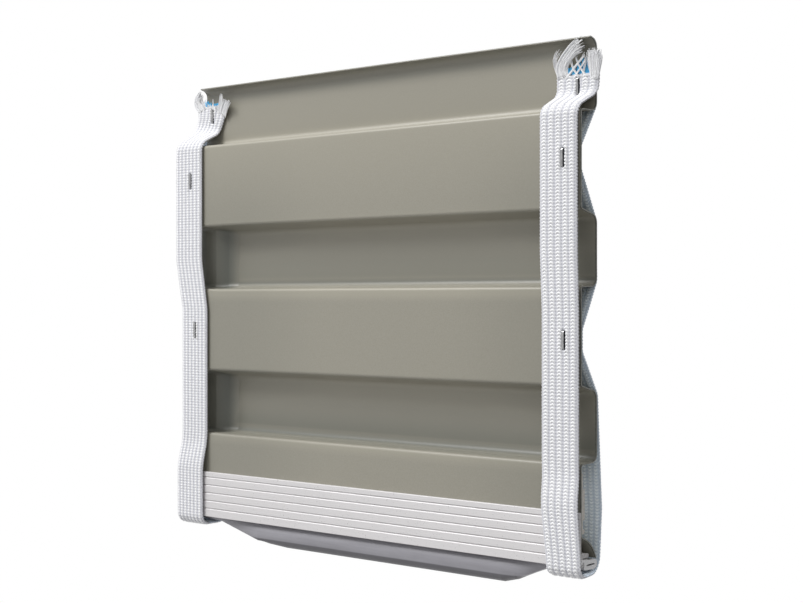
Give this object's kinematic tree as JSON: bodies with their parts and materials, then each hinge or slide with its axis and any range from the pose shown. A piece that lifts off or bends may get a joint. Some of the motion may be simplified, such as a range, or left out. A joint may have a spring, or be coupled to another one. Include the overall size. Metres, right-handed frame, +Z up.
{
  "type": "roller shutter door curtain sample",
  "caption": "Cut sample of a roll-formed steel roller door curtain with fluted bottom rail, hollow weather seal and woven side tapes stapled front and back.",
  "frame": {"origin": "middle of the sheet's cut top edge, half way along its width and in the middle of its thickness", "axes": "+X along the width towards the right end as seen from the front, +Y from the front to the back, +Z up"},
  "size_m": [0.2916, 0.0243, 0.2677],
  "materials": {
    "coated_steel": "satin",
    "rail_aluminium": "satin",
    "strip_aluminium": "mill",
    "rivet_aluminium": "satin",
    "seal_rubber": "semi-matte",
    "tape_weave": "woven",
    "loose_yarn": "loose yarn",
    "core_yarn": "loose yarn",
    "staple_wire": "bright"
  },
  "bodies": {
    "curtain": {"curtain_sheet": "coated_steel", "bottom_rail": "rail_aluminium", "rail_backing_strip": "strip_aluminium", "left_rail_rivet": "rivet_aluminium", "left_tape": "tape_weave", "left_front_frayed_end": "loose_yarn", "left_back_frayed_end": "loose_yarn", "left_core_yarns": "core_yarn", "left_top_staple": "staple_wire", "left_middle_staple": "staple_wire", "left_lower_staple": "staple_wire", "right_rail_rivet": "rivet_aluminium", "right_tape": "tape_weave", "right_front_frayed_end": "loose_yarn", "right_back_frayed_end": "loose_yarn", "right_core_yarns": "core_yarn", "right_top_staple": "staple_wire", "right_middle_staple": "staple_wire", "right_lower_staple": "staple_wire"},
    "seal": {"weather_seal": "seal_rubber"}
  },
  "joints": [
    {"name": "seal_slide", "type": "slide", "parent": "curtain", "child": "seal", "axis": [1, 0, 0], "range_m": [-0.002, 0.002]}
  ]
}
